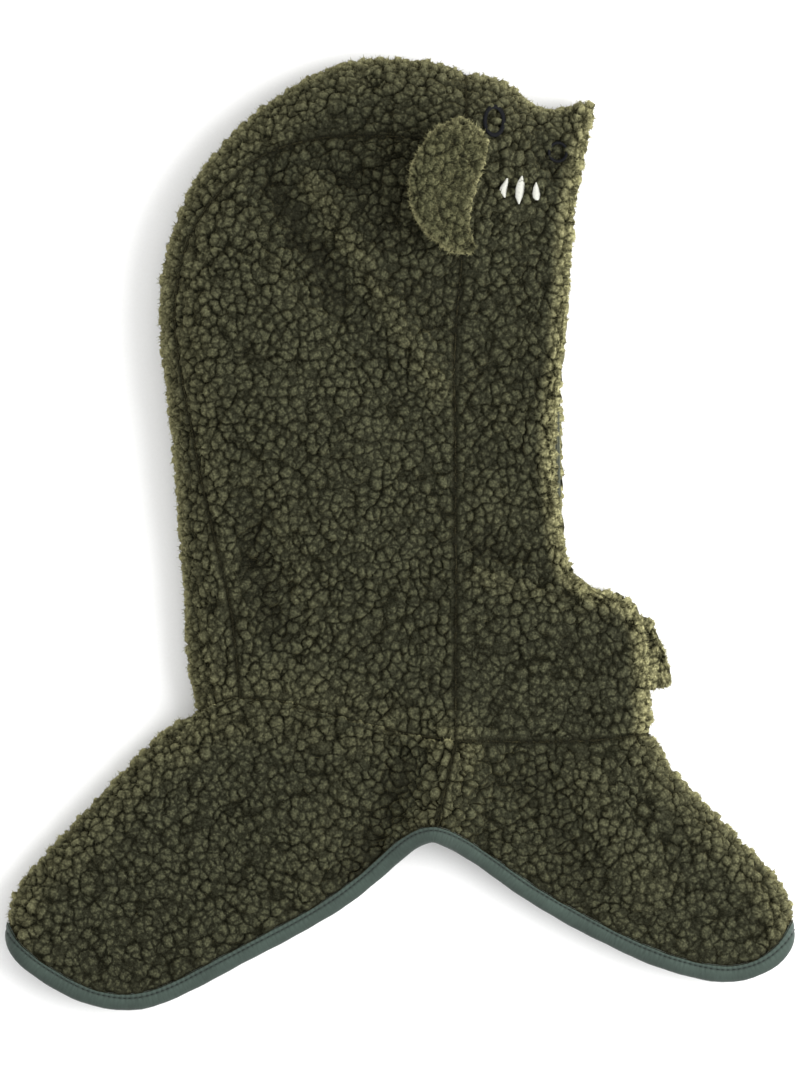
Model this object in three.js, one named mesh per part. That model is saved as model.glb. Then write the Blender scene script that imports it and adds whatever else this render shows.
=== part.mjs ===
// A child's hood of thick curly-pile fleece with two round ears and a short shoulder cape.
// It lies on its left side, folded flat along its centre line, with the face opening to +X and the
// crown to +Y. The wearer's right half is the upper layer. Millimetres, +Z up, origin at the middle
// of the footprint on the surface that the hood lies on.

import * as THREE from 'three';

// Driving dimensions
const wall = 6.5; // fleece wall, pile included
const seamInset = 0.35; // each panel stops this far short of its seam line
const clearance = 0.3; // gap between a piece and what carries it
const earClearance = 0.6; // the same for the ears, over the panels' flat facets
const layLow = 24; // height of the two layers and the air between them on the cape
const tongueThick = 1.8; // pile pressed thin where the hem binding grips it
const tongueLong = 5.2;
const bindingWide = 7.6; // binding seen from above
const bindingThick = 5.4;
const bindingClearance = 0.5; // between the tape and the hem, which turns sharply at its tips
const earThick = 12;
const tabThick = 5;

// Colours
const olive = 0x3d3e2e;
const oliveLight = 0x4c4d39;
const sage = 0x5f6d68;

// Seams and edges of one half, seen from the side: x towards the face, y up from the lowest hem
const seamPoints = {
  crownFold: [
    [31, 433], [14, 438], [-7, 439], [-26, 437], [-46, 428], [-63, 417], [-80, 401], [-94, 383],
    [-104, 361], [-109, 340], [-110, 318], [-108, 293], [-105, 270], [-103, 245], [-101, 218],
    [-99, 190], [-98, 165], [-93, 138],
  ],
  gussetSeam: [
    [31, 400], [12, 402], [-7, 403], [-25, 403], [-42, 401], [-58, 396], [-73, 387], [-86, 374],
    [-96, 359], [-102, 339], [-104, 318], [-101, 293], [-96, 268], [-91, 243], [-84, 215],
    [-78, 190], [-75, 166], [-73, 145],
  ],
  bandSeam: [
    [31, 433], [31, 416], [31, 400], [31, 380], [30, 360], [28, 335], [26, 310], [26, 280],
    [26, 250], [26, 220], [26, 190], [26, 158], [26, 126],
  ],
  browFold: [[31, 433], [41, 431], [50, 428], [57, 422], [62, 418], [70, 416], [80, 418], [88, 420]],
  faceEdge: [
    [88, 420], [88, 411], [86, 399], [83, 386], [81, 372], [79, 355], [78, 338], [77, 322],
    [76, 308], [74, 293], [73, 278], [72, 262], [72, 246], [73, 232], [75, 218], [78, 206],
    [84, 198], [94, 193], [105, 190], [111, 184], [113, 175], [114, 163], [115, 148], [117, 129],
  ],
  neckSeam: [
    [-93, 138], [-83, 143], [-73, 145], [-53, 143], [-34, 138], [-15, 133], [4, 128], [26, 126],
    [50, 125], [72, 125], [94, 126], [117, 129],
  ],
  shoulderSeam: [[26, 126], [23, 112], [20, 98], [17, 86]],
  backFold: [
    [-93, 138], [-108, 130], [-127, 112], [-144, 94], [-161, 76], [-170, 66], [-176, 57],
    [-180, 49], [-181, 42],
  ],
  hem: [
    [-181, 42], [-175, 33], [-161, 22], [-142, 12], [-124, 9], [-108, 13], [-88, 23], [-69, 33],
    [-48, 44], [-30, 55], [-16, 66], [-4, 77], [6, 84], [17, 86], [30, 81], [45, 71], [59, 61],
    [74, 52], [92, 42], [110, 33], [129, 26], [149, 22], [164, 25], [175, 33], [182, 43],
  ],
  frontFold: [
    [117, 129], [121, 120], [129, 110], [145, 93], [163, 75], [172, 65], [178, 57], [181, 50],
    [182, 43],
  ],
};

// Height of the upper layer: wide soft swells
const swells = [
  { place: 'head', at: [-38, 300], spread: [75, 115], rise: 18 },
  { place: 'back of head', at: [-95, 320], spread: [45, 85], rise: 9 },
  { place: 'brow', at: [45, 395], spread: [60, 45], rise: 7 },
  { place: 'cheek', at: [70, 290], spread: [42, 95], rise: 6 },
];

// Ridges and valleys pressed into the upper layer, each along a line
const folds = [
  { place: 'valley behind the temple', from: [-62, 388], to: [-30, 334], width: 9, rise: -3.5 },
  { place: 'ridge behind the ear', from: [-38, 376], to: [16, 290], width: 9, rise: 4 },
  { place: 'dent at the nape', from: [-70, 228], to: [-57, 176], width: 8, rise: -3.5 },
  { place: 'roll under the chin', from: [36, 200], to: [92, 187], width: 10, rise: 3.2 },
  { place: 'valley above the roll', from: [36, 216], to: [66, 211], width: 7, rise: -2 },
  { place: 'upper cheek crease', from: [38, 295], to: [64, 293], width: 7, rise: -1.5 },
  { place: 'lower cheek crease', from: [38, 258], to: [60, 255], width: 7, rise: -1.5 },
  { place: 'brow dent', from: [68, 399], to: [72, 392], width: 8, rise: -3 },
  { place: 'shoulder ridge', from: [25, 122], to: [17, 86], width: 16, rise: 8 },
  { place: 'valley behind the shoulder', from: [5, 117], to: [-24, 62], width: 12, rise: -3.5 },
  { place: 'chest ridge', from: [88, 104], to: [116, 58], width: 15, rise: 3 },
  { place: 'chest valley', from: [60, 106], to: [84, 62], width: 12, rise: -2 },
];

// The left ear is pressed under the lower layer, which rises over it
const earSwell = { at: [22, 378], spread: [58, 66], rise: 9.5, shareAbove: 0.7 };

// The ears, a row for each station along the seam that holds them
const earRows = [
  { base: [39, 403], tip: [28, 410], lift: 5, share: 0.45 },
  { base: [40, 394], tip: [17, 405], lift: 14, share: 0.85 },
  { base: [36, 384], tip: [9, 394], lift: 21, share: 1 },
  { base: [33, 374], tip: [6, 381], lift: 24, share: 1 },
  { base: [32, 364], tip: [8, 368], lift: 22, share: 1 },
  { base: [33, 356], tip: [15, 357], lift: 15, share: 0.85 },
  { base: [35, 350], tip: [25, 350], lift: 6, share: 0.45 },
];

// At the cheek the lower layer's face edge shows a little past the upper one
const peek = { from: 195, to: 305, out: 3 };

const tabOutline = { inner: 98, outerTop: 117, outerLow: 126, low: 149, top: 183, corner: 6 };

const { lerp, clamp } = THREE.MathUtils;

// Seam curves, read by share of their length
const seams = Object.fromEntries(
  Object.entries(seamPoints).map(([name, points]) => [
    name,
    new THREE.SplineCurve(points.map((p) => new THREE.Vector2(...p))),
  ]),
);

// The share of a seam's length at its point nearest to a place
function shareAt(name, [x, y]) {
  const steps = 2000;
  const place = new THREE.Vector2(x, y);
  let best = 0;
  let least = Infinity;
  seams[name].getSpacedPoints(steps).forEach((p, i) => {
    const gap = p.distanceTo(place);
    if (gap < least) {
      least = gap;
      best = i / steps;
    }
  });
  return best;
}

// Part of a seam as a function of a share from 0 to 1
function stretch(name, from = 0, to = 1) {
  return (t) => seams[name].getPointAt(clamp(lerp(from, to, t), 0, 1));
}

// A patch of cloth between four seams, as a place for each (u, v)
function patch({ left, right, top, bottom }) {
  const corner = (u, v) => (v ? bottom(u) : top(u));
  return (u, v) => {
    const sum = left(v).clone().multiplyScalar(1 - u);
    sum.addScaledVector(right(v), u);
    sum.addScaledVector(top(u), 1 - v);
    sum.addScaledVector(bottom(u), v);
    sum.addScaledVector(corner(0, 0), -(1 - u) * (1 - v));
    sum.addScaledVector(corner(1, 0), -u * (1 - v));
    sum.addScaledVector(corner(0, 1), -(1 - u) * v);
    sum.addScaledVector(corner(1, 1), -u * v);
    return sum;
  };
}

// Lines where the cloth turns from the upper layer to the lower, with the cloth on their left.
// Each runs on past the hem or the face edge that ends it.
const runOn = 16;

function past(points) {
  const [before, end] = points.slice(-2);
  return [...points, end.clone().addScaledVector(end.clone().sub(before).normalize(), runOn)];
}

const foldLines = [
  past([
    ...past(seams.browFold.getSpacedPoints(40)).reverse(),
    ...seams.crownFold.getSpacedPoints(140),
    ...seams.backFold.getSpacedPoints(60),
  ]),
  past(seams.frontFold.getSpacedPoints(60)).reverse(),
];

function nearestOnSegment(p, a, b) {
  const along = b.clone().sub(a);
  const t = clamp(p.clone().sub(a).dot(along) / Math.max(along.lengthSq(), 1e-9), 0, 1);
  return a.clone().addScaledVector(along, t);
}

// How far a place is from the nearest fold line, and the way out of the cloth there
function nearestFold(p) {
  let distance = Infinity;
  let outward = null;
  for (const line of foldLines) {
    for (let i = 1; i < line.length; i++) {
      const q = nearestOnSegment(p, line[i - 1], line[i]);
      const gap = p.distanceTo(q);
      if (gap >= distance) continue;
      distance = gap;
      const along = line[i].clone().sub(line[i - 1]).normalize();
      outward = gap < 0.3 ? new THREE.Vector2(along.y, -along.x) : q.sub(p).normalize();
    }
  }
  return { distance, outward };
}

// Height of the lower layer's underside: flat, but for the ear under it
function undersideHeight(p) {
  const [x, y] = earSwell.at;
  const [sx, sy] = earSwell.spread;
  const r2 = ((p.x - x) / sx) ** 2 + ((p.y - y) / sy) ** 2;
  return r2 < 1 ? earSwell.rise * (1 - r2) ** 2 : 0;
}

// Height of the upper layer's outer face, away from the fold lines
function topHeight(p) {
  let height = layLow + earSwell.shareAbove * undersideHeight(p);
  for (const { at, spread, rise } of swells) {
    height += rise * Math.exp(-(((p.x - at[0]) / spread[0]) ** 2) - ((p.y - at[1]) / spread[1]) ** 2);
  }
  for (const { from, to, width, rise } of folds) {
    const gap = p.distanceTo(nearestOnSegment(p, new THREE.Vector2(...from), new THREE.Vector2(...to)));
    height += rise * Math.exp(-((gap / width) ** 2));
  }
  return height;
}

// The way a height function faces at a place
function facing(height, p) {
  const h = 1.5;
  const dx = new THREE.Vector2(h, 0);
  const dy = new THREE.Vector2(0, h);
  return new THREE.Vector3(
    (height(p.clone().sub(dx)) - height(p.clone().add(dx))) / (2 * h),
    (height(p.clone().sub(dy)) - height(p.clone().add(dy))) / (2 * h),
    1,
  ).normalize();
}

// The outer face in space and its outward normal: side +1 is the upper layer and -1 the lower.
// The layers meet in a half-round fold.
function outerFace(p, side) {
  const low = undersideHeight(p);
  const high = topHeight(p);
  const radius = (high - low) / 2;
  const { distance, outward } = nearestFold(p);
  const toFold = 1 - Math.min(distance / radius, 1);
  const toSide = Math.sqrt(1 - toFold ** 2);
  const place = new THREE.Vector3(p.x, p.y, (high + low) / 2 + side * radius * toSide);
  const normal = facing(side > 0 ? topHeight : undersideHeight, p)
    .multiplyScalar(side * toSide)
    .add(new THREE.Vector3(outward.x, outward.y, 0).multiplyScalar(toFold))
    .normalize();
  return { place, normal };
}

// How far the lower layer of the front band lies ahead of the upper one
function peekOut(p, v) {
  const along = clamp((p.y - peek.from) / (peek.to - peek.from), 0, 1);
  return new THREE.Vector2(peek.out * v * Math.sin(along * Math.PI) ** 2, 0);
}

// The plan of a panel, drawn in from the seams round it by the seam gap
function trimmed({ plan, folded, hemmed }) {
  return (u, v) => {
    const gapU = seamInset / plan(0, v).distanceTo(plan(1, v));
    const gapV = seamInset / plan(u, 0).distanceTo(plan(u, 1));
    return plan(lerp(folded ? 0 : gapU, 1 - gapU, u), lerp(gapV, hemmed ? 1 : 1 - gapV, v));
  };
}

// A panel in space: its place and outward normal for each (a, v), and its direction along a.
// A folded panel runs from a = -1 on the lower layer, over its fold at 0, to 1 on the upper.
function panelSurface(panel) {
  const { folded, side = 1, fromFold } = panel;
  const plan = trimmed(panel);
  const at = (a, v) => {
    const vv = clamp(v, 0, 1);
    if (!folded) return outerFace(plan(clamp(a, 0, 1), vv), side);
    const aa = clamp(a, -1, 1);
    const p = plan(fromFold(Math.abs(aa)), vv);
    if (aa >= 0) return outerFace(p, 1);
    return outerFace(panel.peeks ? p.add(peekOut(p, vv)) : p, -1);
  };
  return (a, v) => {
    const e = 1e-3;
    const alongA = at(a + e, v).place.sub(at(a - e, v).place).normalize();
    return { ...at(a, v), alongA };
  };
}

// Two triangles for four corners in order, split along the shorter diagonal
function quadTriangles(points, a, b, c, d) {
  return points[a].distanceTo(points[c]) <= points[b].distanceTo(points[d])
    ? [a, b, c, a, c, d]
    : [a, b, d, b, c, d];
}

// A closed wall from rows of [outer, inner] point pairs
function wallGeometry(rows) {
  const across = rows[0].length;
  const points = rows.flat(2);
  const corner = (j, i, face) => 2 * (j * across + i) + face;
  const index = [];
  const quad = (...corners) => index.push(...quadTriangles(points, ...corners));
  const last = rows.length - 1;
  for (let j = 0; j < last; j++) {
    for (let i = 0; i < across - 1; i++) {
      quad(corner(j, i, 0), corner(j, i + 1, 0), corner(j + 1, i + 1, 0), corner(j + 1, i, 0));
      quad(corner(j, i, 1), corner(j + 1, i, 1), corner(j + 1, i + 1, 1), corner(j, i + 1, 1));
    }
    quad(corner(j, 0, 0), corner(j + 1, 0, 0), corner(j + 1, 0, 1), corner(j, 0, 1));
    const e = across - 1;
    quad(corner(j, e, 0), corner(j, e, 1), corner(j + 1, e, 1), corner(j + 1, e, 0));
  }
  for (let i = 0; i < across - 1; i++) {
    quad(corner(0, i, 0), corner(0, i, 1), corner(0, i + 1, 1), corner(0, i + 1, 0));
    quad(corner(last, i, 0), corner(last, i + 1, 0), corner(last, i + 1, 1), corner(last, i, 1));
  }
  return facingOut(points, index);
}

// A geometry whose triangles are turned round if they enclose a negative volume
function facingOut(points, index) {
  let volume = 0;
  for (let i = 0; i < index.length; i += 3) {
    const [a, b, c] = index.slice(i, i + 3).map((k) => points[k]);
    volume += a.dot(b.clone().cross(c));
  }
  if (volume < 0) index.reverse();
  const geometry = new THREE.BufferGeometry().setFromPoints(points);
  geometry.setIndex(index);
  return geometry;
}

// The wall of a panel, with its thin hem edge where it has one
function panelWall(panel) {
  const { folded, columns, rows, hemmed, towardsEdge = (t) => t } = panel;
  const surface = panelSurface(panel);
  const line = (j) => Array.from({ length: columns + 1 }, (_, i) => {
    const { place, normal } = surface(lerp(folded ? -1 : 0, 1, i / columns), towardsEdge(j / rows));
    return [place, place.clone().addScaledVector(normal, -wall)];
  });
  const made = Array.from({ length: rows + 1 }, (_, j) => line(j));
  return wallGeometry(hemmed ? [...made, ...tongueRows(panel)] : made);
}

// Places along a cape's hem: the middle of the wall, its normal and the way out of the cloth
function hemFrames(panel) {
  const surface = panelSurface(panel);
  return Array.from({ length: panel.columns + 1 }, (_, i) => {
    const { place, normal, alongA } = surface(lerp(-1, 1, i / panel.columns), 1);
    const out = new THREE.Vector3().crossVectors(alongA, normal).normalize();
    if (!panel.hemOnLeft) out.negate();
    return { middle: place.addScaledVector(normal, -wall / 2), normal, out };
  });
}

const offset = (f, outwards, up) =>
  f.middle.clone().addScaledVector(f.out, outwards).addScaledVector(f.normal, up);

// The thin edge of a cape that the binding grips
function tongueRows(panel) {
  const frames = hemFrames(panel);
  return [0, tongueLong].map((reach) =>
    frames.map((f) => [offset(f, reach, tongueThick / 2), offset(f, reach, -tongueThick / 2)]),
  );
}

// Jersey tape folded round the hem all the way round, as one closed channel
function bindingGeometry(back, front) {
  const frames = [...hemFrames(back), ...hemFrames(front).reverse()];
  const half = bindingThick / 2;
  const mouth = tongueThick / 2 + bindingClearance;
  const start = bindingClearance;
  const depth = tongueLong + bindingClearance;
  const section = [
    [start, half - 0.3], [bindingWide * 0.45, half], [bindingWide * 0.85, half * 0.7],
    [bindingWide, 0], [bindingWide * 0.85, -half * 0.7], [bindingWide * 0.45, -half],
    [start, -half + 0.3], [start, -mouth], [depth, -mouth], [depth, mouth], [start, mouth],
  ];
  const points = frames.flatMap((f) => section.map(([reach, up]) => offset(f, reach, up)));
  const index = [];
  const n = section.length;
  frames.forEach((_, j) => {
    const next = (j + 1) % frames.length;
    for (let i = 0; i < n; i++) {
      const a = j * n + i;
      const b = j * n + ((i + 1) % n);
      const c = next * n + ((i + 1) % n);
      const d = next * n + i;
      index.push(...quadTriangles(points, a, b, c, d));
    }
  });
  return facingOut(points, index);
}

// A ring of points for each row, closed by a fan at each end
function ringsGeometry(rings) {
  const n = rings[0].length;
  const points = rings.flat();
  const index = [];
  for (let j = 0; j < rings.length - 1; j++) {
    for (let i = 0; i < n; i++) {
      const a = j * n + i;
      const b = j * n + ((i + 1) % n);
      index.push(...quadTriangles(points, a, b, b + n, a + n));
    }
  }
  const lastRing = (rings.length - 1) * n;
  for (let i = 1; i < n - 1; i++) {
    index.push(0, i + 1, i);
    index.push(lastRing, lastRing + i, lastRing + i + 1);
  }
  return facingOut(points, index);
}

// The upper ear stands from its seam and leans back over the side panel, slightly cupped
function standingEar() {
  const around = 12;
  const sink = 1.5;
  const cup = 2.5;
  const rings = earRows.map(({ base, tip, lift, share }) => {
    const foot = outerFace(new THREE.Vector2(...base), 1).place;
    foot.z += (earThick * share) / 2 - sink;
    const end = outerFace(new THREE.Vector2(...tip), 1).place;
    end.z = foot.z + lift;
    const middle = foot.clone().lerp(end, 0.5);
    const half = end.clone().sub(foot).multiplyScalar(0.5);
    const up = new THREE.Vector3(0, 1, 0).cross(half).normalize();
    if (up.z < 0) up.negate();
    return Array.from({ length: around }, (_, i) => {
      const turn = (i / around) * 2 * Math.PI;
      const bow = -cup * share * (1 - Math.cos(turn) ** 2);
      const point = middle.clone()
        .addScaledVector(half, Math.cos(turn))
        .addScaledVector(up, (Math.sin(turn) * earThick * share) / 2 + bow);
      const under = outerFace(new THREE.Vector2(point.x, point.y), 1).place.z;
      point.z = Math.max(point.z, under + earClearance);
      return point;
    });
  });
  return ringsGeometry(rings);
}

// The lower ear lies pressed flat between the hood and the surface, thinner at its edge
function pressedEar() {
  const across = 6;
  const rows = earRows.map(({ base, tip }, j) => Array.from({ length: across + 1 }, (_, i) => {
    const p = new THREE.Vector2(...base).lerp(new THREE.Vector2(...tip), i / across);
    const atEdge = i === across || j === 0 || j === earRows.length - 1;
    const full = undersideHeight(p) - earClearance;
    return [
      new THREE.Vector3(p.x, p.y, atEdge ? full * 0.7 : full),
      new THREE.Vector3(p.x, p.y, atEdge ? full * 0.25 : 0),
    ];
  }));
  return wallGeometry(rows);
}

// The closure tab: a rounded flap on the lower layer that shows past the front edge
function tabGeometry() {
  const { inner, outerTop, outerLow, low, top, corner } = tabOutline;
  const outline = new THREE.Shape();
  outline.moveTo(inner, low);
  outline.lineTo(outerLow - corner, low);
  outline.quadraticCurveTo(outerLow, low, outerLow, low + corner);
  outline.lineTo(outerTop + 1, top - corner);
  outline.quadraticCurveTo(outerTop, top, outerTop - corner, top);
  outline.lineTo(inner, top);
  outline.closePath();
  const geometry = new THREE.ExtrudeGeometry(outline, {
    depth: tabThick, bevelEnabled: false, curveSegments: 4,
  });
  geometry.translate(0, 0, wall + clearance);
  return geometry;
}

// Where the neck seam meets the panels above it, and the band seam meets the gusset
const neckAtGusset = shareAt('neckSeam', seamPoints.gussetSeam.at(-1));
const neckAtBand = shareAt('neckSeam', seamPoints.bandSeam.at(-1));
const bandAtGusset = shareAt('bandSeam', seamPoints.gussetSeam[0]);
const hemAtShoulder = shareAt('hem', seamPoints.shoulderSeam.at(-1));

// How columns are shared out from a fold (0) to a seam (1)
const nearFold = (a) => (a * a * 2.2) / (a + 1.2);
const evenly = (a) => (a * a * 1.3) / (a + 0.3);
const nearBoth = (a) => a * a * (3 - 2 * a);

// The gusset has one row more than the side panels, whose upper corner is cut off by that row
const sideRows = 26;
const sideTop = 1 / (sideRows + 1);

const panels = {
  crown_gusset: {
    folded: true, columns: 12, rows: sideRows + 1, fromFold: nearFold,
    plan: patch({
      left: stretch('crownFold'),
      right: stretch('gussetSeam'),
      top: stretch('bandSeam', 0, bandAtGusset),
      bottom: stretch('neckSeam', 0, neckAtGusset),
    }),
  },
  front_band: {
    folded: true, columns: 48, rows: 8, fromFold: evenly, peeks: true,
    towardsEdge: (t) => 1 - (1 - t) ** 1.5,
    plan: patch({
      left: stretch('browFold'),
      right: stretch('neckSeam', neckAtBand, 1),
      top: stretch('bandSeam'),
      bottom: stretch('faceEdge'),
    }),
  },
  cape_back: {
    folded: true, columns: 32, rows: 10, fromFold: nearBoth, hemmed: true, hemOnLeft: true,
    plan: patch({
      left: stretch('backFold'),
      right: stretch('shoulderSeam'),
      top: stretch('neckSeam', 0, neckAtBand),
      bottom: stretch('hem', 0, hemAtShoulder),
    }),
  },
  cape_front: {
    folded: true, columns: 28, rows: 9, fromFold: nearBoth, hemmed: true,
    plan: patch({
      left: stretch('frontFold'),
      right: stretch('shoulderSeam'),
      top: stretch('neckSeam', 1, neckAtBand),
      bottom: stretch('hem', 1, hemAtShoulder),
    }),
  },
};

const sidePlan = patch({
  left: stretch('gussetSeam'),
  right: stretch('bandSeam', bandAtGusset, 1),
  top: () => new THREE.Vector2(...seamPoints.gussetSeam[0]),
  bottom: stretch('neckSeam', neckAtGusset, neckAtBand),
});
const side = { rows: sideRows, plan: (u, v) => sidePlan(u, lerp(sideTop, 1, v)) };
panels.side_panel_right = { ...side, side: 1, columns: 14 };
panels.side_panel_left = { ...side, side: -1, columns: 10 };

const hood = new THREE.Group();

function addPiece(name, geometry, color, roughness) {
  const material = new THREE.MeshStandardMaterial({ color, roughness, metalness: 0 });
  const mesh = new THREE.Mesh(geometry, material);
  mesh.name = name;
  hood.add(mesh);
}

for (const [name, panel] of Object.entries(panels)) addPiece(name, panelWall(panel), olive, 1);
addPiece('hem_binding', bindingGeometry(panels.cape_back, panels.cape_front), sage, 0.9);
addPiece('ear_right', standingEar(), oliveLight, 1);
addPiece('ear_left', pressedEar(), oliveLight, 1);
addPiece('chin_tab', tabGeometry(), oliveLight, 1);

// The origin goes to the middle of the footprint
const box = new THREE.Box3().setFromObject(hood);
hood.position.set(-(box.min.x + box.max.x) / 2, -(box.min.y + box.max.y) / 2, 0);

export default hood;
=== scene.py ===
"""A child's teddy fleece hood, lying folded on its side: curly pile, round ears, bound hem.

The frame gives the plain solids. Each fleece panel is rebuilt from its solid as a rounded wall whose
outer side is covered with curls of pile, and the tape, threads and stage are made round it.
"""

import math

import bmesh
import bpy
import numpy as np
from bpy.props import FloatProperty, FloatVectorProperty, PointerProperty
from mathutils import Matrix, Vector
from mathutils.bvhtree import BVHTree
from mathutils.kdtree import KDTree


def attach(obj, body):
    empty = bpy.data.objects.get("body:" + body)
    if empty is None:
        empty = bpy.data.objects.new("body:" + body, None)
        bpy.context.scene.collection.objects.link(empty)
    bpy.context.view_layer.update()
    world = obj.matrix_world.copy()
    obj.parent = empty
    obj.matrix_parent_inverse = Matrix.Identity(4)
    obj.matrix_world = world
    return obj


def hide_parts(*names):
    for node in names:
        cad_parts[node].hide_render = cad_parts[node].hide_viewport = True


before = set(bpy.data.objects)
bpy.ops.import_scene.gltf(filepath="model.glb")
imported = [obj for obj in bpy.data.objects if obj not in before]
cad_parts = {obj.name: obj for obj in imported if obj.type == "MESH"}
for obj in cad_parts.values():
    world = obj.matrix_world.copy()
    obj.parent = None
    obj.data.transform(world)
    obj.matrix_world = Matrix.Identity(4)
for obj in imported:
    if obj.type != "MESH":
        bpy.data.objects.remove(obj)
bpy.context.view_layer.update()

bl_info = {
    "name": "Teddy fleece hood",
    "version": (1, 0, 0),
    "blender": (4, 5, 0),
    "location": "3D View > Sidebar > Hood",
    "description": "Dresses a folded fleece hood with curly pile, ears, a bound hem and embroidery",
    "category": "Object",
}

MM = 0.001

# The panels of fleece, each a wall with pile on its outer side
PANELS = (
    "crown_gusset",
    "side_panel_right",
    "side_panel_left",
    "front_band",
    "cape_back",
    "cape_front",
)
HEM = "hem_binding"
TAB = "chin_tab"
EARS = ("ear_right", "ear_left")

# The photograph's scale, and the pixels that lie on the frame's axes
MM_PER_PIXEL = 0.46
PIXEL_MIDDLE_X = 400
PIXEL_LOWEST_HEM = 1013
LOWEST_HEM_Y = -220.5
IMAGE_HIGH = 1070

# The hem seen from above, from the back tip over the arch to the front tip: x towards the face and
# y up from the lowest hem, in millimetres
HEM_POINTS = (
    (-181, 42), (-175, 33), (-161, 22), (-142, 12), (-124, 9), (-108, 13), (-88, 23), (-69, 33),
    (-48, 44), (-30, 55), (-16, 66), (-4, 77), (6, 84), (17, 86), (30, 81), (45, 71), (59, 61),
    (74, 52), (92, 42), (110, 33), (129, 26), (149, 22), (164, 25), (175, 33), (182, 43),
)
# The stitches lie this far out from the hem of the fleece, in millimetres
STITCH_IN = 1.8

# How far the pile reaches past its panel's edge, in millimetres
LEAN_OVER_SEAM = 0.75
LEAN_AT_CORNER = 1.6
LEAN_OVER_TAPE = 1.2
LEAN_AT_EDGE = 0.9

# At a seam the pile is lower, for this far: its share of its height, and of how deep it is set
# Towards a seam the pile is also painted darker as its share of height falls: painted shade in the
# crease.
SEAM_FALL = 3.6
SEAM_COVER = 0.25
SEAM_SINK = 1.0

# At a free edge the pile rolls open, for this far. By the first share it is painted paler, a painted
# sheen, and grows loose fibres, and it is taller by the second.
ROLL_WIDE = 9.0
ROLL_OPEN_AND_SHEEN = 1.15
ROLL_TALLER = 0.5

# Where the cloth bends outwards the pile opens: it is taller, grows loose fibres and is painted paler,
# a painted sheen. In its valleys it is painted darker, painted shade. The bend is how far the cloth
# stands out of the mean of what lies within this reach, in millimetres. Open pile is taller by this
# share.
OPEN_TALLER = 0.9
BEND_REACH = 16.0
BEND_OPEN = 12.0
BEND_SHADE_FULL = -1.3

# On the sides of the folded hood the pile is painted paler, a painted sheen. The sides begin where the
# level part of the cloth's normal falls under the first number and are full at the second, pale by
# the third.
SIDE_FROM = 0.75
SIDE_FULL = 0.15
SIDE_SHEEN = 0.9

# A panel's free edges are rounded by this many millimetres, in this many steps
EDGE_ROUND = 2.3
EDGE_STEPS = 3

# A wall's side is sewn to a neighbour that is this near, and at the hem the tape is this near, in
# millimetres
SEWN_WITHIN = 2.0
TAPE_WITHIN = 2.5

# Loose fibre ends grow where the pile is open, up to this share of a pile's fuzz
MOST_LOOSE = 0.5

# The embroidery, placed by pixels of the photograph. A ring's line and lift are millimetres. The second
# ring is dark thread laid deeper in the pile where a crease of the brow lies in shade: a painted shadow.
# A mark has rows of its level, left end and right end.
RINGS = (
    {"middle": (494, 122), "wide": 24, "high": 34, "line": 2.4, "lift": 0.25},
    # A painted shadow: a dark ring of thread in the shaded crease beside the eye ring
    {"middle": (557.5, 153), "wide": 21, "high": 22, "line": 1.6, "lift": -0.2},
)
MARKS = (
    (
        (180, 505.5, 508),
        (184, 502.5, 508.3),
        (188, 499.3, 507.8),
        (191.5, 498, 507),
        (194.5, 499.5, 506.5),
        (198, 503, 505.5),
    ),
    ((177.5, 520.5, 522.5), (184, 515.5, 525), (191, 514, 524.6), (198, 514, 523), (204.5, 517.5, 519.5)),
    ((184, 535, 536.5), (189, 532, 539), (195, 531, 540.5), (199, 532, 540), (200.5, 534, 539)),
    ((211, 468.3, 469.6), (216, 466.8, 469.6), (220.5, 467.5, 468.5)),
)

# What the faces of a panel's wall are, kept as their material index
PILE, BACKING, SEAM_STRIP, FREE_EDGE = range(4)


def photo_place(px, py):
    """The frame's x and y, in metres, of a pixel of the photograph."""
    return (
        (px - PIXEL_MIDDLE_X) * MM_PER_PIXEL * MM,
        ((PIXEL_LOWEST_HEM - py) * MM_PER_PIXEL + LOWEST_HEM_Y) * MM,
    )


def linear(value):
    """A colour for a shader from an sRGB hex value."""
    parts = [int(value[i : i + 2], 16) / 255 for i in (1, 3, 5)]
    parts = [c / 12.92 if c <= 0.04045 else ((c + 0.055) / 1.055) ** 2.4 for c in parts]
    return (*parts, 1.0)


# Sizes and colours that a user would change


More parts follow.
